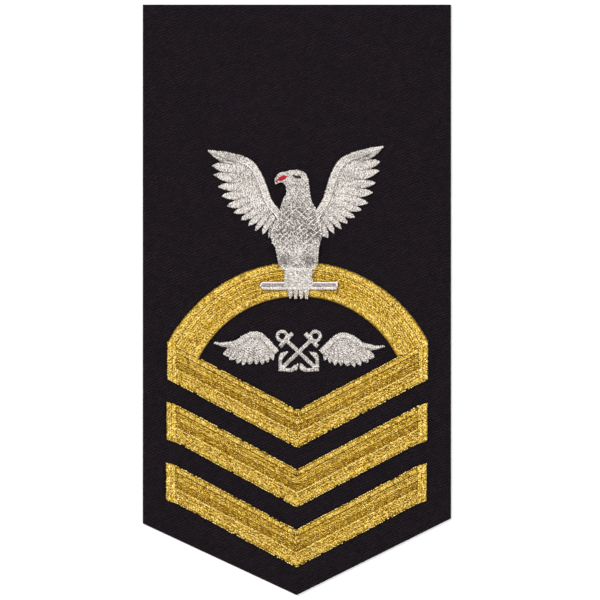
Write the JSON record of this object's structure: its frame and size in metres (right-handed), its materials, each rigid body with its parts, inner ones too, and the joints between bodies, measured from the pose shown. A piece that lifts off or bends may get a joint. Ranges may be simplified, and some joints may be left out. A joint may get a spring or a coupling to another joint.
{
  "type": "rank chevron patch",
  "caption": "Dark cloth sleeve badge with a pointed end, gold chevrons and arc, a silver eagle on a bar and a silver winged anchor emblem.",
  "frame": {"origin": "middle of the cloth panel on its back face, where the badge rests or is sewn on", "axes": "+Y to the badge's straight top edge, +X to the viewer's right, +Z out of the embroidered face"},
  "size_m": [0.0974, 0.1872, 0.0029],
  "materials": {
    "dark_cloth": "matte black-violet wool twill",
    "gold_thread_border": "satin stitched gold metallic thread, padded",
    "gold_thread_field": "gold metallic thread laid in short rows, glinting",
    "silver_thread": "silver-white metallic thread, speckled",
    "lilac_grey_thread": "lilac-grey satin thread",
    "red_thread": "red satin thread",
    "black_thread": "black satin thread"
  },
  "bodies": {
    "root": {"backing_cloth": "dark_cloth", "chevron_lower_border": "gold_thread_border", "chevron_lower_field": "gold_thread_field", "chevron_middle_border": "gold_thread_border", "chevron_middle_field": "gold_thread_field", "chevron_upper_border": "gold_thread_border", "chevron_upper_field": "gold_thread_field", "arc_outer_border": "gold_thread_border", "arc_field": "gold_thread_field", "arc_inner_border": "gold_thread_border", "wing_left": "silver_thread", "wing_left_edge": "silver_thread", "wing_right": "silver_thread", "wing_right_edge": "silver_thread", "eagle_body": "silver_thread", "eagle_head": "silver_thread", "eagle_tail": "silver_thread", "perch_bar": "lilac_grey_thread", "beak": "red_thread", "eye": "black_thread", "winglet_left": "silver_thread", "winglet_left_edge": "silver_thread", "winglet_right": "silver_thread", "winglet_right_edge": "silver_thread", "anchor_left": "silver_thread", "anchor_right": "silver_thread"}
  },
  "joints": []
}
